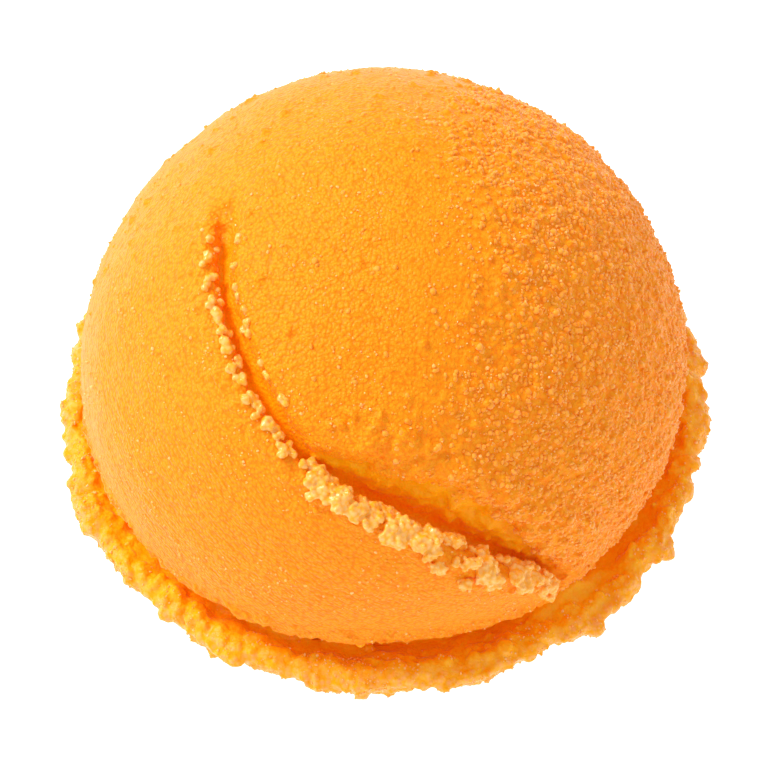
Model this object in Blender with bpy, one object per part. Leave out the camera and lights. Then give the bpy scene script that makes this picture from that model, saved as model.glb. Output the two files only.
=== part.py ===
"""A scoop of fruit sorbet, as it drops from the scoop onto a plate.

One solid: a rolled ball, a fold where the last of the sorbet lapped over it, and a ragged
skirt pressed out round its foot. Metres, +Z up, with the origin in the middle of its flat foot.
"""

import math

import bmesh
import bpy
from mathutils import Vector, noise

MM = 0.001

# The ball. It is a sphere sunk into its foot, rolled a little slimmer low on its right side.
BALL_RADIUS = 31.0 * MM
BALL_CENTRE = Vector((0.0, 0.0, 11.5 * MM))
SLIM_SHARE = 0.035
SLIM_TOWARDS = math.radians(-25)
SLIM_HALF_HEIGHT = 6.0 * MM
UNEVENNESS = 0.35 * MM
UNEVEN_SPAN = 15.0 * MM

# The fold. Its lip is nearly a circle round this axis, at about LIP_ANGLE from it. The other
# angles are taken round the axis: where the fold starts and has opened, where the narrow
# crack widens into the valley, where that is widest, and where the fold closes again.
FOLD_AXIS = Vector((0.536, -0.089, 0.84)).normalized()
LIP_ANGLE = math.radians(66)
FOLD_FROM, FOLD_OPEN = math.radians(166), math.radians(182)
VALLEY_FROM, VALLEY_OPEN, VALLEY_CLOSE = math.radians(226), math.radians(252), math.radians(272)
FOLD_WIDE = math.radians(262)
FOLD_CLOSE, FOLD_TO = math.radians(294), math.radians(304)
CRACK_WIDTH = math.radians(5.0)
VALLEY_WIDTH = math.radians(13.5)
CRACK_DEPTH = 2.0 * MM
VALLEY_DEPTH = 5.0 * MM
# How the side across from the lip falls: under 1 it drops steeply first, then flattens.
CRACK_CURVE, VALLEY_CURVE = 0.5, 0.8
LIP_OVERHANG = math.radians(2.0)
LIP_PROUD = 0.7 * MM
LIP_RAGGED = math.radians(0.9)
LIP_TEETH = 14
# The rows of points up the back of the valley and round the lip's edge: degrees past the lip
# where the fold has melted away, degrees past it where the fold is open, and the share of the
# valley's depth, or of the lip's own rise, at which the row lies.
LIP_ROWS = (
    (1.60, 2.48, 0.62, 0.00),
    (3.52, 0.32, 0.30, 0.00),
    (4.16, 0.00, 0.00, 0.35),
    (4.80, 1.76, 0.00, 1.00),
)
FOLD_START = math.radians(5.76)
LIP_STRAYS = (
    (FOLD_FROM, math.radians(12), math.radians(-4.0)),
    (FOLD_WIDE, math.radians(24), math.radians(-4.0)),
    (FOLD_TO, math.radians(12), math.radians(5.0)),
)

# The recess that runs round the ball just above the skirt.
RECESS_TOP = 8.6 * MM
RECESS_FLOOR = 4.8 * MM
RECESS_DEPTH = 2.0 * MM
RECESS_UNEVEN = 0.2

# The skirt. Each lobe is (bearing in degrees, half width in degrees, reach in mm).
# A bearing runs from +X round by the front, which is -Y.
SKIRT_RADIUS = 33.2 * MM
SKIRT_HEIGHT = 4.2 * MM
SKIRT_INNER = 26.0 * MM
GROOVE_RADIUS = 29.0 * MM
GROOVE_HEIGHT = 2.9 * MM
GROOVE_FILLED_AT, GROOVE_FILLED_HALF = math.radians(52), math.radians(9)
GROOVE_FILL = 3.0 * MM
SKIRT_LOBES = (
    (-27, 6, 1.3),
    (-13, 4.5, 1.5),
    (1, 4, 0.9),
    (13, 3.5, -1.2),
    (50, 8, 0.5),
    (78, 6, 0.8),
    (93, 5, 0.9),
    (120, 4, 0.9),
    (158, 7, 0.7),
    (181, 4, 1.0),
    (204, 9, 1.4),
    (236, 8, 0.8),
    (268, 6, -0.7),
    (297, 9, 1.0),
    (327, 7, 0.5),
)
SKIRT_RAGGED = 0.55 * MM
SKIRT_UNEVEN = 0.22
TOOTH_SPAN = 2.6 * MM
# The rows of points up the skirt's outside: mm inside its rim, and the share of its height.
SKIRT_ROWS = ((1.7, 0.28), (0.4, 0.58), (0.0, 0.82), (0.7, 1.00), (1.9, 1.08))
SKIRT_FOOT = 3.0 * MM
GROOVE_SHOULDER = 0.82

# Mesh counts.
BALL_SEGMENTS, CORE_RINGS, VALLEY_RINGS, OUTER_RINGS = 88, 12, 5, 22
SKIRT_SEGMENTS = 140
TABLE_SIZE = 120 * MM
BELOW_TABLE = 2.0 * MM

SORBET_COLOUR = (1.0, 0.37, 0.03, 1.0)
SORBET_ROUGHNESS = 0.45


def blend(low, high, value):
    """0 below low, 1 above high, and a smooth rise between them."""
    share = min(1.0, max(0.0, (value - low) / (high - low)))
    return share * share * (3 - 2 * share)


def hump(middle, half_width, value):
    """1 at middle, falling away smoothly on both sides."""
    return math.exp(-(((value - middle) / half_width) ** 2))


# The fold, as functions of the angle round its axis.


def fold_strength(around):
    """How far the fold has opened: 0 where it has melted into the ball."""
    return blend(FOLD_FROM, FOLD_OPEN, around) * (1 - blend(FOLD_CLOSE, FOLD_TO, around))


def fold_opening(around):
    """0 along the narrow crack and 1 where the fold gapes widest."""
    return blend(VALLEY_FROM, VALLEY_OPEN, around) * (1 - 0.7 * blend(VALLEY_CLOSE, FOLD_CLOSE, around))


def lip_angle(around):
    """The lip's angle from the fold's axis, ragged and straying a little from a true circle."""
    strays = sum(angle * hump(middle, half_width, around) for middle, half_width, angle in LIP_STRAYS)
    ragged = LIP_RAGGED * noise.noise(Vector((around * LIP_TEETH, 0.5, 0)))
    return LIP_ANGLE + strays + ragged * fold_strength(around)


def valley_width(around):
    return CRACK_WIDTH + (VALLEY_WIDTH - CRACK_WIDTH) * fold_opening(around)


def valley_depth(around):
    depth = CRACK_DEPTH + (VALLEY_DEPTH - CRACK_DEPTH) * fold_opening(around)
    return depth * fold_strength(around)


def ball_section(around):
    """(angle from the fold's axis, distance from the ball's centre) down one segment, poles left out."""
    strength = fold_strength(around)
    lip = lip_angle(around)
    floor = lip + LIP_OVERHANG * strength
    shoulder = lip - valley_width(around)
    depth = valley_depth(around)
    curve = CRACK_CURVE + (VALLEY_CURVE - CRACK_CURVE) * fold_opening(around)
    section = []
    for ring in range(1, CORE_RINGS + 1):
        section.append((shoulder * ring / CORE_RINGS, BALL_RADIUS))
    for ring in range(1, VALLEY_RINGS + 1):
        share = ring / VALLEY_RINGS
        down = depth * share**curve
        section.append((shoulder + (floor - shoulder) * share, BALL_RADIUS - down))
    for melted, opened, down, up in LIP_ROWS:
        past = math.radians(melted + (opened - melted) * strength)
        section.append((lip + past, BALL_RADIUS - down * depth + up * LIP_PROUD * strength))
    start = lip + FOLD_START
    for ring in range(OUTER_RINGS):
        share = ring / OUTER_RINGS
        proud = LIP_PROUD * strength * (1 - share)
        section.append((start + (math.pi - start) * share, BALL_RADIUS + proud))
    return section


def recess_depth(height, bearing):
    """How far the ball is cut in at a height, just above the skirt."""
    inside = blend(RECESS_TOP, RECESS_FLOOR, height)
    return RECESS_DEPTH * inside * (1 + RECESS_UNEVEN * noise.noise(Vector((bearing * 3, 0, 0.5))))


def settled(point):
    """A point of the rolled ball after it is slimmed, made uneven and cut in above the skirt."""
    bearing = math.atan2(point.y, point.x)
    from_axis = Vector((point.x, point.y, 0))
    low = blend(BALL_CENTRE.z + SLIM_HALF_HEIGHT, BALL_CENTRE.z - SLIM_HALF_HEIGHT, point.z)
    slim = SLIM_SHARE * low * max(0.0, math.cos(bearing - SLIM_TOWARDS))
    shift = from_axis * -slim
    if from_axis.length > SKIRT_INNER - RECESS_DEPTH:
        shift -= from_axis.normalized() * recess_depth(point.z, bearing)
    outwards = (point - BALL_CENTRE).normalized()
    shift += outwards * UNEVENNESS * noise.noise(point / UNEVEN_SPAN)
    return point + shift


def make_ball(collection):
    """A UV sphere whose pole is the fold's axis; each of its segments is bent to the ball's section."""
    rings = len(ball_section(0.0))
    mesh = bpy.data.meshes.new("sorbet_scoop")
    form = bmesh.new()
    bmesh.ops.create_uvsphere(form, u_segments=BALL_SEGMENTS, v_segments=rings + 1, radius=1.0)
    across = (Vector((1, 0, 0)) - FOLD_AXIS * FOLD_AXIS.x).normalized()
    beside = FOLD_AXIS.cross(across)
    sections = {}
    for vertex in form.verts:
        ring = round((math.pi / 2 - math.asin(max(-1.0, min(1.0, vertex.co.z)))) / math.pi * (rings + 1))
        if ring in (0, rings + 1):
            vertex.co = settled(BALL_CENTRE + FOLD_AXIS * math.copysign(BALL_RADIUS, vertex.co.z))
            continue
        around = math.atan2(vertex.co.y, vertex.co.x) % math.tau
        key = round(around / math.tau * BALL_SEGMENTS)
        if key not in sections:
            sections[key] = ball_section(around)
        angle, distance = sections[key][ring - 1]
        sideways = across * math.cos(around) + beside * math.sin(around)
        outwards = FOLD_AXIS * math.cos(angle) + sideways * math.sin(angle)
        vertex.co = settled(BALL_CENTRE + outwards * distance)
    form.to_mesh(mesh)
    form.free()
    ball = bpy.data.objects.new("sorbet_scoop", mesh)
    collection.objects.link(ball)
    return ball


def skirt_reach(bearing):
    """How far the skirt's rim stands from the middle on this bearing, in radians round by the front."""
    degrees = math.degrees(bearing) % 360
    reach = SKIRT_RADIUS
    for middle, half_width, lobe in SKIRT_LOBES:
        away = (degrees - middle + 180) % 360 - 180
        reach += lobe * MM * hump(0, half_width, away)
    where = Vector((math.cos(bearing), math.sin(bearing), 0)) * SKIRT_RADIUS / TOOTH_SPAN
    return reach + SKIRT_RAGGED * noise.noise(where)


def skirt_section(bearing):
    """(radius, height) round the skirt's section, from under its rim, up its outside and back to the ball."""
    rim = skirt_reach(bearing)
    where = Vector((math.cos(bearing), math.sin(bearing), 2.0)) * SKIRT_RADIUS / (2 * TOOTH_SPAN)
    top = SKIRT_HEIGHT * (1 + SKIRT_UNEVEN * noise.noise(where))
    away = (bearing - GROOVE_FILLED_AT + math.pi) % math.tau - math.pi
    groove_floor = GROOVE_HEIGHT + GROOVE_FILL * hump(0, GROOVE_FILLED_HALF, away)
    section = [(rim - SKIRT_FOOT, -BELOW_TABLE)]
    section += [(rim - inside * MM, share * top) for inside, share in SKIRT_ROWS]
    section += [
        (0.4 * rim + 0.6 * GROOVE_RADIUS, top),
        (GROOVE_RADIUS + 0.5 * MM, max(GROOVE_SHOULDER * top, groove_floor)),
        (GROOVE_RADIUS - 0.5 * MM, groove_floor),
        (SKIRT_INNER, groove_floor),
        (SKIRT_INNER - 1.0 * MM, -BELOW_TABLE),
    ]
    return section


def as_helper(obj, helpers):
    """The object moved to the helpers' collection and left out of renders."""
    for collection in list(obj.users_collection):
        collection.objects.unlink(obj)
    helpers.objects.link(obj)
    obj.hide_render = True
    obj.display_type = "WIRE"
    return obj


def make_skirt(helpers):
    """A torus whose every slice is bent to the skirt's section."""
    points = len(skirt_section(0.0))
    bpy.ops.mesh.primitive_torus_add(
        major_segments=SKIRT_SEGMENTS,
        minor_segments=points,
        major_radius=1.0,
        minor_radius=0.25,
    )
    skirt = bpy.context.object
    skirt.name = "skirt_form"
    for vertex in skirt.data.vertices:
        bearing = -math.atan2(vertex.co.y, vertex.co.x)
        off_centre = math.hypot(vertex.co.x, vertex.co.y) - 1.0
        turn = math.atan2(vertex.co.z, off_centre) % math.tau
        slot = round(turn / math.tau * points) % points
        radius, height = skirt_section(bearing)[slot]
        vertex.co = Vector((radius * math.cos(bearing), -radius * math.sin(bearing), height))
    return as_helper(skirt, helpers)


def make_table(helpers):
    """A block whose top is the surface the scoop stands on. It cuts the foot flat."""
    bpy.ops.mesh.primitive_cube_add(size=TABLE_SIZE, location=(0, 0, -TABLE_SIZE / 2))
    table = bpy.context.object
    table.name = "table_cutter"
    return as_helper(table, helpers)


def boolean(target, tool, operation):
    modifier = target.modifiers.new(f"{operation.lower()} {tool.name}", "BOOLEAN")
    modifier.operation = operation
    modifier.object = tool
    modifier.solver = "EXACT"


def applied_and_centred(scoop):
    """The scoop with its modifiers applied and the middle of its box moved over the origin."""
    bpy.context.view_layer.update()
    evaluated = scoop.evaluated_get(bpy.context.evaluated_depsgraph_get())
    mesh = bpy.data.meshes.new_from_object(evaluated)
    scoop.modifiers.clear()
    scoop.data = mesh
    mesh.name = scoop.name
    for axis in (0, 1):
        places = [vertex.co[axis] for vertex in mesh.vertices]
        middle = (min(places) + max(places)) / 2
        for vertex in mesh.vertices:
            vertex.co[axis] -= middle
    mesh.shade_smooth()


def sorbet_material():
    material = bpy.data.materials.new("sorbet")
    material.use_nodes = True
    shader = material.node_tree.nodes["Principled BSDF"]
    shader.inputs["Base Color"].default_value = SORBET_COLOUR
    shader.inputs["Roughness"].default_value = SORBET_ROUGHNESS
    shader.inputs["Metallic"].default_value = 0.0
    return material


def main():
    for obj in list(bpy.data.objects):
        bpy.data.objects.remove(obj, do_unlink=True)
    parts = bpy.data.collections.new("sorbet_scoop")
    helpers = bpy.data.collections.new("cutters")
    for collection in (parts, helpers):
        bpy.context.scene.collection.children.link(collection)
    scoop = make_ball(parts)
    skirt = make_skirt(helpers)
    table = make_table(helpers)
    boolean(scoop, skirt, "UNION")
    boolean(scoop, table, "DIFFERENCE")
    applied_and_centred(scoop)
    scoop.data.materials.clear()
    scoop.data.materials.append(sorbet_material())


main()
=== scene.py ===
import math

import bpy
import numpy as np
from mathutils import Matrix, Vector, noise


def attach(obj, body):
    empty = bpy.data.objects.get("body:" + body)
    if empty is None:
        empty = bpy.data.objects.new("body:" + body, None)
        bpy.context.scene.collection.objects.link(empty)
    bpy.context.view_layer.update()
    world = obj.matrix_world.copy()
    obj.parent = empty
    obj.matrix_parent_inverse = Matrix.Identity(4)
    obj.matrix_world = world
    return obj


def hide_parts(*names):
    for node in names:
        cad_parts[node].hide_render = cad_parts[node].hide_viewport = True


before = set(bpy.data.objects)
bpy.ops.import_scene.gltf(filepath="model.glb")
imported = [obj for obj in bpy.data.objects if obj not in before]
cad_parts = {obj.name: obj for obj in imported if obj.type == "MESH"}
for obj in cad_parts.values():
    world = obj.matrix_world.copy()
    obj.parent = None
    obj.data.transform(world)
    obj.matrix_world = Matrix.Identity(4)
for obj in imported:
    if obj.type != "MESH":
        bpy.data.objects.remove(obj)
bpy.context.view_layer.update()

MM = 0.001

# The ball and its fold. The sorbet was drawn up against the scoop in one long curl, and the last
# of the curl lapped over the front of the ball as it turned. Metal rubbed the fold and the middle
# of the ball smooth. The right side and every torn edge show the frozen grain.

BALL_CENTRE = Vector((-0.15, 0.38, 11.5)) * MM
BALL_RADIUS = 31.0 * MM
BALL_VOXEL = 0.25 * MM
MOST_TRIANGLES = 195000
BALL_PARTING = ((3.2, 28.0), (5.4, 28.8), (6.8, 29.6), (7.8, 30.6), (9.5, 36.0), (50.0, 36.0))
PARTING_SIDES = 120
BELOW_FOOT = 1.0 * MM
FOLD_AXIS = Vector((0.536, -0.089, 0.84)).normalized()
FOLD_ACROSS = (Vector((1, 0, 0)) - FOLD_AXIS * FOLD_AXIS.x).normalized()
FOLD_BESIDE = FOLD_AXIS.cross(FOLD_ACROSS)
LIP_ANGLE = 66
LIP_STRAYS = ((166, 12, -4.0), (262, 24, -4.0), (304, 12, 5.0))  # middle, half width, degrees
OPENS, CLOSES = (168, 180), (296, 306)  # where round its axis the fold parts from the ball
FIRST_VOXEL = 0.36 * MM
ON_SURFACE = 29.5  # mm from the ball's centre, past which a place is on the outside
COARSE_BEADS, EDGE_BEADS, SHOULDER_BEADS, VALLEY_BEADS, LIP_BEADS = 3600, 2600, 1500, 900, 1600


def select_only(piece):
    """Nothing else selected, and this piece active."""
    bpy.ops.object.select_all(action="DESELECT")
    piece.select_set(True)
    bpy.context.view_layer.objects.active = piece


def copied_node(node, name):
    """A new piece with a copy of a frame node's mesh, its loose triangles merged."""
    piece = bpy.data.objects.new(name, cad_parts[node].data.copy())
    bpy.context.scene.collection.objects.link(piece)
    piece.data.materials.clear()
    select_only(piece)
    bpy.ops.object.mode_set(mode="EDIT")
    bpy.ops.mesh.select_all(action="SELECT")
    bpy.ops.mesh.remove_doubles(threshold=0.001 * MM)
    bpy.ops.object.mode_set(mode="OBJECT")
    return piece


def modified(piece, kind, **settings):
    """The piece with one modifier added, set and applied."""
    select_only(piece)
    modifier = piece.modifiers.new(kind.lower(), kind)
    for name, value in settings.items():
        setattr(modifier, name, value)
    bpy.ops.object.modifier_apply(modifier=modifier.name)
    return piece


def parting_form(rings):
    """A turned form whose side runs down the groove: (height, radius) of each ring, in mm."""
    bpy.ops.object.select_all(action="DESELECT")
    first_height, first_radius = rings[0]
    depth = first_height * MM + BELOW_FOOT
    bpy.ops.mesh.primitive_cylinder_add(
        vertices=PARTING_SIDES,
        radius=first_radius * MM,
        depth=depth,
        location=(BALL_CENTRE.x, BALL_CENTRE.y, depth / 2 - BELOW_FOOT),
    )
    form = bpy.context.object
    bpy.ops.object.transform_apply(location=True, rotation=True, scale=True)
    bpy.ops.object.mode_set(mode="EDIT")
    bpy.ops.mesh.select_mode(type="FACE")
    bpy.ops.mesh.select_all(action="DESELECT")
    bpy.ops.object.mode_set(mode="OBJECT")
    for face in form.data.polygons:
        face.select = face.normal.z > 0.9
    bpy.ops.object.mode_set(mode="EDIT")
    for (low, narrow), (high, wide) in zip(rings, rings[1:]):
        bpy.ops.mesh.extrude_region_move(TRANSFORM_OT_translate={"value": (0, 0, (high - low) * MM)})
        bpy.ops.transform.resize(
            value=(wide / narrow, wide / narrow, 1),
            center_override=(BALL_CENTRE.x, BALL_CENTRE.y, high * MM),
        )
    bpy.ops.object.mode_set(mode="OBJECT")
    return form


def points_of(piece):
    """The piece's points, one to a row."""
    points = np.empty(len(piece.data.vertices) * 3)
    piece.data.vertices.foreach_get("co", points)
    return points.reshape(-1, 3)


def blend(low, high, values):
    """0 at low, 1 at high, and a smooth rise between them."""
    share = np.clip((values - low) / (high - low), 0, 1)
    return share * share * (3 - 2 * share)


def between(values, rise, fall):
    """1 from the end of the rise to the start of the fall, and 0 outside both."""
    return blend(*rise, values) * (1 - blend(*fall, values))


def from_upright(points):
    """How far each point is from the ball's upright axis, in mm."""
    return np.hypot(points[:, 0] - BALL_CENTRE.x, points[:, 1] - BALL_CENTRE.y) / MM


def fold_places(points):
    """(angle from the fold's axis, angle round it, distance from the ball's centre), in degrees and mm."""
    away = points - np.array(BALL_CENTRE)
    distance = np.linalg.norm(away, axis=1)
    from_axis = np.degrees(np.arccos(np.clip(away @ np.array(FOLD_AXIS) / distance, -1, 1)))
    around = np.degrees(np.arctan2(away @ np.array(FOLD_BESIDE), away @ np.array(FOLD_ACROSS))) % 360
    return from_axis, around, distance / MM


def fold_opened(around):
    """1 along the fold's lip and 0 where the fold has melted into the ball."""
    return between(around, OPENS, CLOSES)


def past_lip(from_axis, around):
    """How far a place lies past the lip of the fold, in degrees from the fold's axis."""
    strays = sum(angle * np.exp(-(((around - middle) / half) ** 2)) for middle, half, angle in LIP_STRAYS)
    return from_axis - LIP_ANGLE - strays


def scattered(piece, count, weigh, seed):
    """(places, normals) of count points on a piece, thicker where weigh(centres, normals) is more."""
    mesh = piece.data
    mesh.calc_loop_triangles()
    corners = np.empty(len(mesh.loop_triangles) * 3, np.int32)
    mesh.loop_triangles.foreach_get("vertices", corners)
    corners = points_of(piece)[corners.reshape(-1, 3)]
    crossed = np.cross(corners[:, 1] - corners[:, 0], corners[:, 2] - corners[:, 0])
    areas = np.linalg.norm(crossed, axis=1)
    normals = crossed / np.maximum(areas, 1e-15)[:, None]
    odds = areas * weigh(corners.mean(axis=1), normals)
    chance = np.random.default_rng(seed)
    chosen = chance.choice(len(odds), count, p=odds / odds.sum())
    shares = chance.dirichlet((1, 1, 1), count)
    return (corners[chosen] * shares[:, :, None]).sum(axis=1), normals[chosen]


def grain_shape(subdivisions, knobbly):
    """(points, faces) of one frozen grain with a radius of about 1."""
    bpy.ops.object.select_all(action="DESELECT")
    bpy.ops.mesh.primitive_ico_sphere_add(subdivisions=subdivisions, radius=1)
    grain = bpy.context.object
    for vertex in grain.data.vertices:
        vertex.co *= 1 + knobbly * noise.noise(vertex.co * 1.7)
    points = points_of(grain)
    faces = np.array([face.vertices[:] for face in grain.data.polygons])
    bpy.data.objects.remove(grain)
    return points, faces


def strewn(name, shape, places, sizes, seed, uneven):
    """One joined mesh with a grain at each place, each turned its own way and stretched a little."""
    chance = np.random.default_rng(seed)
    grain, faces = shape
    turns = chance.normal(size=(len(places), 4))
    w, x, y, z = (turns / np.linalg.norm(turns, axis=1)[:, None]).T
    spin = np.array(
        [
            [1 - 2 * (y * y + z * z), 2 * (x * y - z * w), 2 * (x * z + y * w)],
            [2 * (x * y + z * w), 1 - 2 * (x * x + z * z), 2 * (y * z - x * w)],
            [2 * (x * z - y * w), 2 * (y * z + x * w), 1 - 2 * (x * x + y * y)],
        ]
    ).transpose(2, 0, 1)
    stretch = 1 + uneven * chance.uniform(-1, 1, (len(places), 1, 3))
    grains = np.einsum("nij,nkj->nki", spin, grain[None] * stretch) * sizes[:, None, None]
    offsets = np.arange(len(places))[:, None, None] * len(grain)
    mesh = bpy.data.meshes.new(name)
    mesh.from_pydata((grains + places[:, None]).reshape(-1, 3), [], (faces[None] + offsets).reshape(-1, 3))
    piece = bpy.data.objects.new(name, mesh)
    bpy.context.scene.collection.objects.link(piece)
    return piece


def beaded(piece, count, weigh, sizes, sunk, proud, seed):
    """Beads of ice strewn on a piece from sunk to proud of its surface, all in mm, thicker where
    weigh says, their radii between the two sizes."""
    places, normals = scattered(piece, count, weigh, seed)
    chance = np.random.default_rng(seed + 1)
    sizes = chance.uniform(*sizes, count) * MM
    places = places + normals * (chance.uniform(-sunk, proud, count) * MM)[:, None]
    places[:, 2] = np.maximum(places[:, 2], sizes * 1.25)  # none hangs below the foot
    return strewn("beads", grain_shape(2, 0.25), places, sizes, seed=seed + 2, uneven=0.25)


def joined(piece, others):
    """The piece with the others joined into it."""
    select_only(piece)
    for other in others:
        other.select_set(True)
    bpy.ops.object.join()
    return piece


def thinned(piece):
    """The piece thinned to fewer triangles, most where it is flat, when it has more than MOST_TRIANGLES.
    """
    triangles = sum(len(face.vertices) - 2 for face in piece.data.polygons)
    if triangles > MOST_TRIANGLES:
        modified(piece, "DECIMATE", ratio=MOST_TRIANGLES / triangles)


def weighted(piece, name, weights):
    """A vertex group with one weight for each point, from 0 to 1."""
    group = piece.vertex_groups.new(name=name)
    for index, weight in enumerate(weights):
        group.add([index], float(weight), "REPLACE")


def relief(piece, name, span, height, octaves, middle=0.5, group="off_foot"):
    """The surface raised along its normals by lumps about span across, in the piece's own space."""
    lumps = bpy.data.textures.new(name, "CLOUDS")
    lumps.noise_scale = span
    lumps.noise_depth = octaves
    modified(
        piece,
        "DISPLACE",
        texture=lumps,
        texture_coords="LOCAL",
        strength=height,
        mid_level=middle,
        vertex_group=group,
    )


def off_foot(points):
    """0 on the flat foot, which stays flat, and 1 from a little above it."""
    return blend(0.3, 1.5, points[:, 2] / MM)


def broken_shoulder(points):
    """1 along the ball's edge above the valley, where it broke as the fold pulled away."""
    from_axis, around, distance = fold_places(points)
    edge = between(past_lip(from_axis, around), (-18, -14), (-8, -4))
    return edge * between(around, (222, 250), (288, 298))


def coarse_side(centres, normals):
    """1 on the ball's right, where the grain stands out, and near 0 on its rubbed left and the fold."""
    from_axis, around, distance = fold_places(centres)
    rightwards = blend(2, 16, centres[:, 0] / MM + 3.0 * np.sin(centres[:, 1] / MM / 5))
    above = centres[:, 2] > 5 * MM
    inside = 1 - blend(-6, -2, past_lip(from_axis, around)) * fold_opened(around)
    return (0.04 + rightwards) * above * inside * (distance > ON_SURFACE)


def ball_edge(centres, normals):
    """1 on the ball's rough bottom edge, where it rolls under into the groove."""
    return between(centres[:, 2] / MM, (5.8, 6.8), (8.0, 10.5)) * (from_upright(centres) > 28.0)


def shoulder(centres, normals):
    """1 on the broken edge of the ball above the valley, 0 elsewhere."""
    from_axis, around, distance = fold_places(centres)
    edge = between(past_lip(from_axis, around), (-18, -14), (-11, -8))
    return edge * fold_opened(around) * blend(225, 250, around) * (distance > 28.5)


def valley(centres, normals):
    """1 on the sides of the valley below the ball's broken edge, 0 elsewhere."""
    from_axis, around, distance = fold_places(centres)
    sides = between(past_lip(from_axis, around), (-19, -15), (-4, -1))
    return sides * fold_opened(around) * blend(215, 240, around) * (distance > 26) * (distance < 30.6)


def lip(centres, normals):
    """1 along the torn lip of the fold, 0 elsewhere."""
    from_axis, around, distance = fold_places(centres)
    edge = between(past_lip(from_axis, around), (-0.6, 0.4), (1.5, 5.0))
    return edge * fold_opened(around) * (distance > ON_SURFACE)


dome = copied_node("sorbet_scoop", "ball_and_fold")
form = parting_form(BALL_PARTING)
modified(dome, "BOOLEAN", object=form, operation="INTERSECT", solver="EXACT")
bpy.data.objects.remove(form)
modified(dome, "REMESH", mode="VOXEL", voxel_size=FIRST_VOXEL)
modified(dome, "SMOOTH", factor=0.5, iterations=8)
weighted(dome, "shoulder", broken_shoulder(points_of(dome)))
relief(dome, "broken_edge", span=1.9 * MM, height=3.0 * MM, octaves=2, middle=0.56, group="shoulder")
beads = [
    beaded(dome, COARSE_BEADS, coarse_side, sizes=(0.32, 0.52), sunk=0.30, proud=0.02, seed=21),
    beaded(dome, EDGE_BEADS, ball_edge, sizes=(0.28, 0.50), sunk=0.20, proud=0.18, seed=31),
    beaded(dome, SHOULDER_BEADS, shoulder, sizes=(0.28, 0.50), sunk=0.10, proud=0.30, seed=41),
    beaded(dome, VALLEY_BEADS, valley, sizes=(0.30, 0.55), sunk=0.35, proud=0.05, seed=57),
    beaded(dome, LIP_BEADS, lip, sizes=(0.26, 0.40), sunk=0.24, proud=0.10, seed=51),
]
joined(dome, beads)
modified(dome, "REMESH", mode="VOXEL", voxel_size=BALL_VOXEL)
modified(dome, "SMOOTH", factor=0.5, iterations=1)
weighted(dome, "off_foot", off_foot(points_of(dome)))
relief(dome, "lumps", span=7 * MM, height=0.5 * MM, octaves=2)
relief(dome, "grit", span=0.9 * MM, height=0.18 * MM, octaves=1)
thinned(dome)

# The skin. Fruit puree frozen in fine crystals lets light a little way in. Frost has dulled the
# tops of its grains, which are paler, partly with frost and partly as painted highlight, and the
# pits between them are darker with painted shade. Down in the crack, the valley and the groove it
# is wet, and its colour there is painted lighter in place of the light that fills them. A pale
# bloom shows wherever it is seen along its surface.

# Tones from the grains' tops to their pits: the darker pits are painted shade, and the paler tops are
# frost and painted highlight.
BALL_TONES = ((1.0, 0.35, 0.005, 1), (1.0, 0.29, 0.001, 1), (1.0, 0.24, 0.0005, 1))
COARSE_TOP_TONE = (1.0, 0.335, 0.008, 1)
# Painted light: a lighter tone laid in the crack, the valley and the groove, in place of the light that
# fills them.
HOLLOW_PAINTED_LIGHT_TONE = (1.0, 0.47, 0.0005, 1)
BLOOM_TINT = (1.0, 0.62, 0.42, 1)
BLOOM_SPREAD = 0.28
LIGHT_REACH = 1.0 * MM
LIGHT_REACH_BY_COLOUR = (1.0, 0.35, 0.08)
ICE_IOR = 1.36
CELLS_WANDER = 0.35 * MM
WANDER_SPAN, SUGAR_SPAN, RUB_SPAN = 1.2 * MM, 0.28 * MM, 1.6 * MM
STREAKS_PER_MM = (0.42, 3.0, 0.0)
SUGAR_HEIGHT, STREAK_HEIGHT = 0.10, 0.16
CROWN_ENDS, PIT_ENDS = (0.15, 0.65), (0.42, 0.80)  # distances from a grain's middle, in grain widths
WET_SMOOTHS = 0.8


def marked(piece, name, values):
    """A value from 0 to 1 kept at each of the piece's points."""
    marks = piece.data.attributes.new(name, "FLOAT", "POINT")
    marks.data.foreach_set("value", values.astype(np.float32))


def curl_coordinates(piece):
    """Each point's place along and across the curl, in mm, for the streaks drawn round the fold's axis."""
    from_axis, around, distance = fold_places(points_of(piece))
    along = np.radians(around) * BALL_RADIUS / MM
    across = np.radians(from_axis) * BALL_RADIUS / MM
    places = np.stack([along, across, distance], axis=1).astype(np.float32)
    streaks = piece.data.attributes.new("curl", "FLOAT_VECTOR", "POINT")
    streaks.data.foreach_set("vector", places.ravel())


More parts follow.
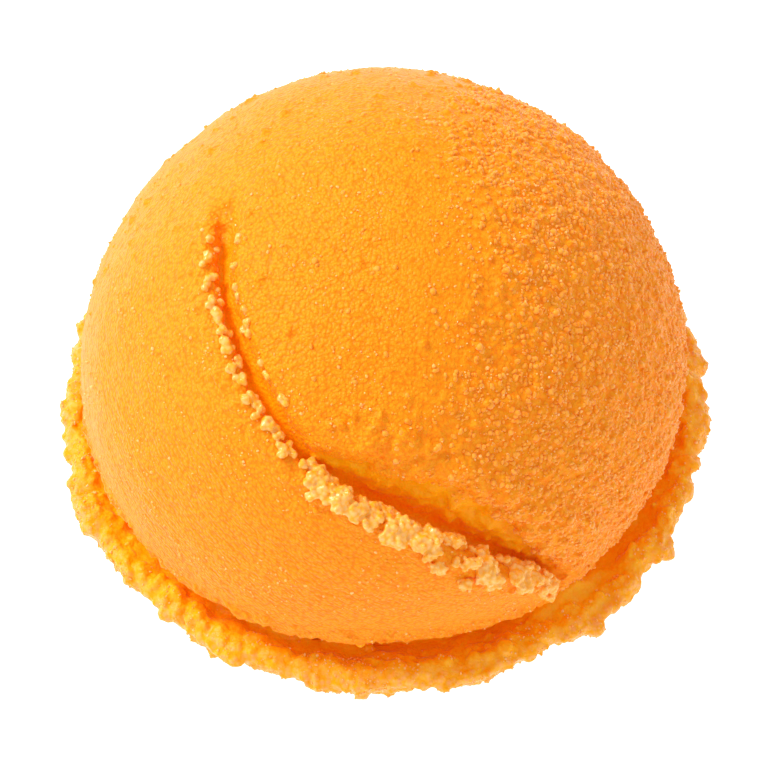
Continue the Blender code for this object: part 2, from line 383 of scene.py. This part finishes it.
def sorbet_skin(name, grains, cuts, through, bloom, tones, coarse_top, shine, deepened=1.0, gleam=0.24):
    """The sorbet's material: the fine and the coarse grain and the depth each is cut to, in mm, how
    much light goes through, the bloom, the colours from the grains' tops to the pits between them,
    the colour of the coarse grains' tops, the lowest and the highest roughness, how much deeper all
    of the relief is cut, and how strongly the surface mirrors."""
    material = bpy.data.materials.new(name)
    material.use_nodes = True
    nodes = material.node_tree.nodes
    links = material.node_tree.links

    def node(kind, values=(), **inputs):
        """A new node with its settings and its sockets filled; _0, _1 and _2 name sockets by place."""
        made = nodes.new(f"ShaderNode{kind}")
        for key, value in values:
            setattr(made, key, value)
        for key, value in inputs.items():
            socket = made.inputs[int(key[1:])] if key[1:].isdigit() else made.inputs[key.replace("_", " ")]
            if isinstance(value, bpy.types.NodeSocket):
                links.new(value, socket)
            else:
                socket.default_value = value
        return made.outputs

    def sum_of(first, second, added=0.0):
        """first times second, plus added."""
        return node("Math", (("operation", "MULTIPLY_ADD"),), _0=first, _1=second, _2=added)[0]

    def attribute(title, output):
        """A value kept at the piece's points."""
        return node("Attribute", (("attribute_name", title),))[output]

    def mixed(share, first, second):
        """The first colour where share is 0 and the second where it is 1."""
        return node("Mix", (("data_type", "RGBA"),), _0=share, _6=first, _7=second)[2]

    shader = nodes["Principled BSDF"]
    shader.inputs["Subsurface Weight"].default_value = through
    shader.inputs["Subsurface Radius"].default_value = LIGHT_REACH_BY_COLOUR
    shader.inputs["Subsurface Scale"].default_value = LIGHT_REACH
    shader.inputs["IOR"].default_value = ICE_IOR
    shader.inputs["Specular IOR Level"].default_value = gleam
    shader.inputs["Sheen Weight"].default_value = bloom
    shader.inputs["Sheen Roughness"].default_value = BLOOM_SPREAD
    shader.inputs["Sheen Tint"].default_value = BLOOM_TINT

    place = node("TexCoord")["Object"]
    smooth_painted_light_recess = attribute("smooth_painted_light_recess", "Fac")
    coarse = attribute("coarse", "Fac")
    drawn = attribute("drawn", "Fac")
    curl = attribute("curl", "Vector")

    wander = node("TexNoise", Vector=place, Scale=1 / WANDER_SPAN, Detail=1.0)["Color"]
    bent = node(
        "VectorMath", (("operation", "MULTIPLY_ADD"),), _0=wander, _1=(CELLS_WANDER,) * 3, _2=place
    )[0]
    fine_grain, coarse_grain = grains
    fine = node("TexVoronoi", Vector=bent, Scale=1 / (fine_grain * MM))["Distance"]
    large = node("TexVoronoi", Vector=bent, Scale=1 / (coarse_grain * MM))["Distance"]
    cells = node("Mix", _0=coarse, _2=fine, _3=large)[0]
    sugar = node("TexNoise", Vector=place, Scale=1 / SUGAR_SPAN, Detail=2.0)["Fac"]
    along = node("VectorMath", (("operation", "MULTIPLY"),), _0=curl, _1=STREAKS_PER_MM)[0]
    streaks = node("TexNoise", Vector=along, Scale=1.0, Detail=2.0)["Fac"]

    # The tops of the grains are paler, partly with frost and partly as painted highlight, and the pits
    # between them are darker with painted shade.
    top, flesh, pit = tones
    painted_pit_shade = node("ValToRGB", Fac=cells)["Color"]
    for element, position, tone in zip(painted_pit_shade.node.color_ramp.elements, PIT_ENDS, (flesh, pit)):
        element.position, element.color = position, tone
    near, far = CROWN_ENDS
    crowns = node("MapRange", Value=cells, From_Min=near, From_Max=far, To_Min=1.0, To_Max=0.0)["Result"]
    frost_highlight_and_pit_shade = mixed(crowns, painted_pit_shade, mixed(coarse, top, coarse_top))
    # Painted light: where the crack, the valley and the groove are marked, the colour turns to the lighter
    # hollow tone.
    links.new(mixed(smooth_painted_light_recess, frost_highlight_and_pit_shade, HOLLOW_PAINTED_LIGHT_TONE), shader.inputs["Base Color"])

    rub = node("TexNoise", Vector=place, Scale=1 / RUB_SPAN, Detail=3.0)["Fac"]
    gloss = node("MapRange", Value=rub, To_Min=shine[0], To_Max=shine[1])["Result"]
    links.new(gloss, shader.inputs["Roughness"])

    # Relief in mm: pits between the grains, streaks on the drawn side, sugar all over.
    fine_cut, coarse_cut = cuts
    cut_depth = sum_of(coarse, coarse_cut - fine_cut, fine_cut)
    pitted = sum_of(cells, sum_of(cut_depth, -1.0), sum_of(sum_of(streaks, drawn), STREAK_HEIGHT))
    sugared = sum_of(sum_of(sugar, SUGAR_HEIGHT), 1.0, pitted)
    rough = sum_of(sugared, sum_of(smooth_painted_light_recess, -WET_SMOOTHS, 1.0))
    bump = node("Bump", Height=rough, Strength=1.0, Distance=deepened * MM)
    links.new(bump["Normal"], shader.inputs["Normal"])
    return material


def finished(piece, material, smooth=True):
    """The piece in its material, riding with the scoop and standing for it."""
    piece.data.materials.clear()
    piece.data.materials.append(material)
    piece.vertex_groups.clear()
    select_only(piece)
    if smooth:
        bpy.ops.object.shade_smooth()
    else:
        bpy.ops.object.shade_flat()
    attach(piece, "root")
    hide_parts("sorbet_scoop")


def ball_smooth_painted_light_recess(points):
    """1 deep in the crack, the valley and the groove, which take a lighter tone of painted light and
    smoother relief, 0 on the outside.
    """
    from_axis, around, distance = fold_places(points)
    past = past_lip(from_axis, around)
    by_fold = between(past, (-19, -15), (3, 5)) * fold_opened(around)
    deep = blend(30.3, 29.0, distance) * by_fold * (1 - 0.45 * blend(225, 250, around))
    return np.maximum(deep, 0.75 * blend(7.0, 5.6, points[:, 2] / MM))


def ball_coarse(points):
    """1 on the coarse right side of the ball, 0 on the rubbed side and the fold."""
    from_axis, around, distance = fold_places(points)
    rightwards = blend(-2, 14, points[:, 0] / MM)
    return rightwards * (1 - 0.8 * blend(-3, 1, past_lip(from_axis, around)) * fold_opened(around))


marked(dome, "smooth_painted_light_recess", ball_smooth_painted_light_recess(points_of(dome)))
marked(dome, "coarse", ball_coarse(points_of(dome)))
curl_coordinates(dome)
from_axis, around, distance = fold_places(points_of(dome))
marked(dome, "drawn", blend(2, 8, past_lip(from_axis, around)) * fold_opened(around))
rubbed = sorbet_skin(
    "rubbed_sorbet",
    grains=(0.38, 0.55),
    cuts=(0.10, 0.10),
    through=0.25,
    bloom=0.18,
    tones=BALL_TONES,
    coarse_top=COARSE_TOP_TONE,
    shine=(0.25, 0.6),
    deepened=1.4,
)
finished(dome, rubbed)

# The torn lip. Where the curl broke away it left clumps of pale ice beads standing along the edge
# of the fold and leaning out over the valley; their paleness is partly painted highlight. Single
# beads stand on the far side of the crack.

LIP_VOXEL = 0.12 * MM
CLUMPS, FAR_CLUMPS = 320, 16
CLUMP_BEADS = 16
CRACK_TO_VALLEY = (215, 250)  # the stretch round the fold's axis where the crack widens
CLUMP_REACH, VALLEY_REACH = 0.28, 0.36  # mm at the crack, and how much more at the valley
CLUMP_RISE, CORE_SHARE = 0.45, 0.7  # of a clump's reach


def in_patches(centres, span, shift):
    """Patches about span mm across: 1 inside them and 0 between them. The shift moves the pattern."""
    offset = Vector((shift, shift, shift))
    drift = np.array([noise.noise(Vector(centre) / (span * MM) + offset) for centre in centres])
    return blend(-0.15, 0.2, drift)


def torn_edge(centres, normals):
    """1 on the fold's side of the crack and, in a wider band, of the valley."""
    from_axis, around, distance = fold_places(centres)
    past = past_lip(from_axis, around)
    wide = blend(*CRACK_TO_VALLEY, around)
    rise = blend(-0.8 - 1.8 * wide, -0.1 - 0.5 * wide, past)
    fall = blend(0.3 + 0.2 * wide, 1.2 + 3.2 * wide, past)
    along = between(around, (176, 180), (296, 299)) * (0.2 + in_patches(centres, span=2.2, shift=7.5))
    return rise * (1 - fall) * along * (distance > 30.7 - 1.1 * wide)


def far_edge(centres, normals):
    """1 on the ball's side of the crack."""
    from_axis, around, distance = fold_places(centres)
    edge = between(past_lip(from_axis, around), (-5.6, -4.8), (-4.0, -3.2))
    return edge * between(around, (176, 180), (215, 228)) * (distance > 30.0)


near, near_normals = scattered(dome, CLUMPS, torn_edge, seed=61)
far, far_normals = scattered(dome, FAR_CLUMPS, far_edge, seed=62)
chance = np.random.default_rng(63)
from_axis, around, distance = fold_places(near)
reaches = chance.uniform(0.5, 1.3, CLUMPS) * (CLUMP_REACH + VALLEY_REACH * blend(*CRACK_TO_VALLEY, around))
middles = np.concatenate([near + near_normals * (reaches * CLUMP_RISE * MM)[:, None], far])
reaches = np.concatenate([reaches, chance.uniform(0.1, 0.35, FAR_CLUMPS)])
owners = np.repeat(np.arange(len(middles)), CLUMP_BEADS)
directions = chance.normal(size=(len(owners), 3))
directions /= np.linalg.norm(directions, axis=1)[:, None]
outwards = reaches[owners] * chance.uniform(0.55, 1.0, len(owners)) * MM
spots = middles[owners] + directions * outwards[:, None]
bead_sizes = chance.uniform(0.18, 0.34, len(owners)) * MM
torn = strewn("torn_lip", grain_shape(2, 0.15), spots, bead_sizes, seed=64, uneven=0.12)
cores = strewn("cores", grain_shape(2, 0.15), middles, reaches * CORE_SHARE * MM, seed=65, uneven=0.12)
joined(torn, [cores])
modified(torn, "REMESH", mode="VOXEL", voxel_size=LIP_VOXEL)
modified(torn, "SMOOTH", factor=0.5, iterations=1)
thinned(torn)
# Painted light: the lip's tones are paler than the ball's, partly as painted highlight for the glints on
# clear ice, and their pits are darker with painted shade.
LIP_TONES = ((1.0, 0.53, 0.14, 1), (1.0, 0.46, 0.05, 1), (1.0, 0.39, 0.01, 1))
torn_skin = sorbet_skin(
    "torn_sorbet",
    grains=(0.5, 0.6),
    cuts=(0.03, 0.03),
    through=0.15,
    bloom=0.1,
    tones=LIP_TONES,
    coarse_top=LIP_TONES[0],
    shine=(0.06, 0.3),
    deepened=0.7,
    gleam=0.8,
)
finished(torn, torn_skin)

# The skirt. Sorbet squeezed out round the rim of the scoop froze into a ragged frill of melted
# beads, smooth where it meets the ball and pressed flat where the scoop was set down.

SKIRT_PARTING = ((1.8, 25.5), (2.2, 27.4)) + BALL_PARTING
FIRST_SKIRT_VOXEL, SKIRT_VOXEL = 0.5 * MM, 0.24 * MM
SKIRT_LUMPS, SKIRT_BEADS, SMALL_SKIRT_BEADS = 340, 1300, 1500

skirt = copied_node("sorbet_scoop", "skirt")
form = parting_form(SKIRT_PARTING)
modified(skirt, "BOOLEAN", object=form, operation="DIFFERENCE", solver="EXACT")
bpy.data.objects.remove(form)
modified(skirt, "REMESH", mode="VOXEL", voxel_size=FIRST_SKIRT_VOXEL)
modified(skirt, "SMOOTH", factor=0.5, iterations=4)


def skirt_rim(centres, normals):
    """1 on the skirt's rim and the outer half of its top, 0 on its foot and by the groove."""
    out = from_upright(centres)
    above = (normals[:, 2] > -0.8) * (centres[:, 2] > 0.3 * MM)
    return above * (0.08 + blend(30.0, 31.6, out)) * (out > 28.8)


def skirt_edge(centres, normals):
    """1 on the skirt's rim alone."""
    rim = (from_upright(centres) > 31.6) * (normals[:, 2] > -0.5) * (centres[:, 2] > 0.8 * MM)
    return rim * (0.1 + in_patches(centres, span=3.0, shift=1.5))


def patchy_rim(centres, normals):
    """The skirt's rim in patches, thin between them."""
    return skirt_rim(centres, normals) * (0.15 + in_patches(centres, span=2.4, shift=4.5))


weighted(skirt, "off_foot", off_foot(points_of(skirt)))
relief(skirt, "clods", span=2.6 * MM, height=1.5 * MM, octaves=1)
beads = [
    beaded(skirt, SKIRT_LUMPS, skirt_edge, sizes=(0.60, 0.95), sunk=0.70, proud=0.10, seed=67),
    beaded(skirt, SKIRT_BEADS, patchy_rim, sizes=(0.34, 0.60), sunk=0.35, proud=0.20, seed=71),
    beaded(skirt, SMALL_SKIRT_BEADS, patchy_rim, sizes=(0.25, 0.38), sunk=0.15, proud=0.25, seed=81),
]
joined(skirt, beads)
modified(skirt, "REMESH", mode="VOXEL", voxel_size=SKIRT_VOXEL)
modified(skirt, "SMOOTH", factor=0.5, iterations=2)
thinned(skirt)

# Tops to pits: the darker pits are painted shade. The rim's pale peach edge tone is partly painted sheen.
SKIRT_TONES = ((1.0, 0.45, 0.012, 1), (1.0, 0.42, 0.004, 1), (1.0, 0.37, 0.001, 1))
SKIRT_EDGE_TONE = (1.0, 0.41, 0.11, 1)
# Painted light: the skirt's inner side by the groove takes a quarter share of the lighter hollow tone.
marked(skirt, "smooth_painted_light_recess", 0.25 * blend(31.0, 29.2, from_upright(points_of(skirt))))
marked(skirt, "coarse", blend(31.6, 33.4, from_upright(points_of(skirt))))
melted = sorbet_skin(
    "melted_sorbet",
    grains=(0.55, 0.6),
    cuts=(0.08, 0.11),
    through=0.3,
    bloom=0.3,
    tones=SKIRT_TONES,
    coarse_top=SKIRT_EDGE_TONE,
    shine=(0.1, 0.4),
)
finished(skirt, melted)

# The coarse grain. On the right the scoop never rubbed the ball, and beads of frozen juice stand
# side by side on it, frosted pale in places.

GRAINS = 9500
GRAIN_TONES = ((1.0, 0.30, 0.001, 1), (1.0, 0.40, 0.035, 1))
GRAIN_GLEAM, GRAIN_BLOOM = 0.3, 0.7
GRAIN_SUNK = 0.25  # of its own radius


def speckled(name, span, tones, roughness, ior):
    """A plain skin whose colour drifts between two tones over span mm."""
    material = bpy.data.materials.new(name)
    material.use_nodes = True
    nodes = material.node_tree.nodes
    links = material.node_tree.links
    shader = nodes["Principled BSDF"]
    place = nodes.new("ShaderNodeTexCoord")
    drift = nodes.new("ShaderNodeTexNoise")
    drift.inputs["Scale"].default_value = 1 / (span * MM)
    ramp = nodes.new("ShaderNodeValToRGB")
    for element, position, tone in zip(ramp.color_ramp.elements, (0.35, 0.65), tones):
        element.position, element.color = position, tone
    links.new(place.outputs["Object"], drift.inputs["Vector"])
    links.new(drift.outputs["Fac"], ramp.inputs["Fac"])
    links.new(ramp.outputs["Color"], shader.inputs["Base Color"])
    shader.inputs["Roughness"].default_value = roughness
    shader.inputs["IOR"].default_value = ior
    shader.inputs["Specular IOR Level"].default_value = GRAIN_GLEAM
    shader.inputs["Sheen Weight"].default_value = GRAIN_BLOOM
    shader.inputs["Sheen Tint"].default_value = BLOOM_TINT
    return material


places, normals = scattered(dome, GRAINS, coarse_side, seed=87)
chance = np.random.default_rng(88)
grain_sizes = (0.14 + 0.24 * chance.beta(1.5, 2.5, GRAINS)) * MM
places = places - normals * grain_sizes[:, None] * GRAIN_SUNK
grains = strewn("coarse_grain", grain_shape(1, 0.5), places, grain_sizes, seed=89, uneven=0.45)
finished(grains, speckled("coarse_sorbet", span=0.6, tones=GRAIN_TONES, roughness=0.45, ior=ICE_IOR))

# The frost. Clear ice and sugar crystals stand proud of the sorbet, thick on the coarse side and
# thin where the scoop rubbed it.

BALL_CRYSTALS, SKIRT_CRYSTALS = 6600, 2900
CRYSTAL_PROUD = 0.3  # of its own radius
ICE_TONES = ((1.0, 0.42, 0.05, 1), (1.0, 0.60, 0.20, 1))


def frosted(centres, normals):
    """More than 0 in patches on the outside of the ball, and most on its right."""
    from_axis, around, distance = fold_places(centres)
    patches = np.array([noise.noise(Vector(c) / (4.5 * MM)) for c in centres])
    rightwards = blend(0, 30, centres[:, 0] / MM)
    return (0.35 + rightwards) * blend(-0.3, 0.5, patches) * (centres[:, 2] > 4 * MM) * (distance > 30)


on_ball = scattered(dome, BALL_CRYSTALS, frosted, seed=91)
on_skirt = scattered(skirt, SKIRT_CRYSTALS, patchy_rim, seed=94)
places, normals = (np.concatenate(pair) for pair in zip(on_ball, on_skirt))
chance = np.random.default_rng(92)
crystal_sizes = (0.05 + 0.18 * chance.beta(1.0, 4.0, len(places))) * MM
places = places + normals * crystal_sizes[:, None] * CRYSTAL_PROUD
crystals = strewn("frost", grain_shape(1, 0.5), places, crystal_sizes, seed=93, uneven=0.4)
clear = speckled("ice_crystals", span=0.8, tones=ICE_TONES, roughness=0.15, ior=1.45)
finished(crystals, clear, smooth=False)

# The stage. A white table under a white sky, with one soft light high on the left. The camera looks
# down on the scoop from the front.

TABLE_SIDE, TABLE_TONE, TABLE_GLOW = 3.0, (0.35, 0.35, 0.35, 1), 1.15
WHITE = (1, 1, 1, 1)
SKY_STRENGTH = 0.8
KEY_POWER, KEY_SIZE, KEY_DISTANCE = 7.0, 0.3, 0.9
KEY_FROM = Vector((-0.62, 0.25, 0.74)).normalized()
CAMERA_RISE = math.radians(55)
CAMERA_DISTANCE = 0.5
BALL_SHARE = 0.7839  # of the view's width that the ball fills
CAMERA_SHIFT = (-0.0013, -0.0182)

bpy.ops.object.select_all(action="DESELECT")
bpy.ops.mesh.primitive_plane_add(size=TABLE_SIDE)
floor = bpy.context.object
floor.name = "floor"
paper = bpy.data.materials.new("white_table")
paper.use_nodes = True
paper_shader = paper.node_tree.nodes["Principled BSDF"]
paper_shader.inputs["Base Color"].default_value = TABLE_TONE
paper_shader.inputs["Roughness"].default_value = 0.8
paper_shader.inputs["Emission Color"].default_value = WHITE
paper_shader.inputs["Emission Strength"].default_value = TABLE_GLOW
floor.data.materials.append(paper)

sky = bpy.data.worlds.new("studio")
bpy.context.scene.world = sky
sky.use_nodes = True
sky.node_tree.nodes["Background"].inputs["Color"].default_value = WHITE
sky.node_tree.nodes["Background"].inputs["Strength"].default_value = SKY_STRENGTH

key = bpy.data.lights.new("key", "AREA")
key.energy = KEY_POWER
key.size = KEY_SIZE
key_object = bpy.data.objects.new("key", key)
bpy.context.scene.collection.objects.link(key_object)
key_object.location = KEY_FROM * KEY_DISTANCE
key_object.rotation_euler = KEY_FROM.to_track_quat("Z", "Y").to_euler()

camera = bpy.data.cameras.new("camera")
camera_object = bpy.data.objects.new("camera", camera)
bpy.context.scene.collection.objects.link(camera_object)
backwards = Vector((0, -math.cos(CAMERA_RISE), math.sin(CAMERA_RISE)))
camera_object.location = BALL_CENTRE + backwards * CAMERA_DISTANCE
camera_object.rotation_euler = (math.pi / 2 - CAMERA_RISE, 0, 0)
camera.sensor_width = 36
view_width = 2 * math.tan(math.asin(BALL_RADIUS / CAMERA_DISTANCE)) / BALL_SHARE
camera.lens = camera.sensor_width / view_width
camera.shift_x, camera.shift_y = CAMERA_SHIFT
camera.clip_start = 0.01
bpy.context.scene.camera = camera_object
bpy.context.scene.view_settings.view_transform = "Standard"
bpy.context.scene.cycles.diffuse_bounces = 10
bpy.context.scene.cycles.max_bounces = 14
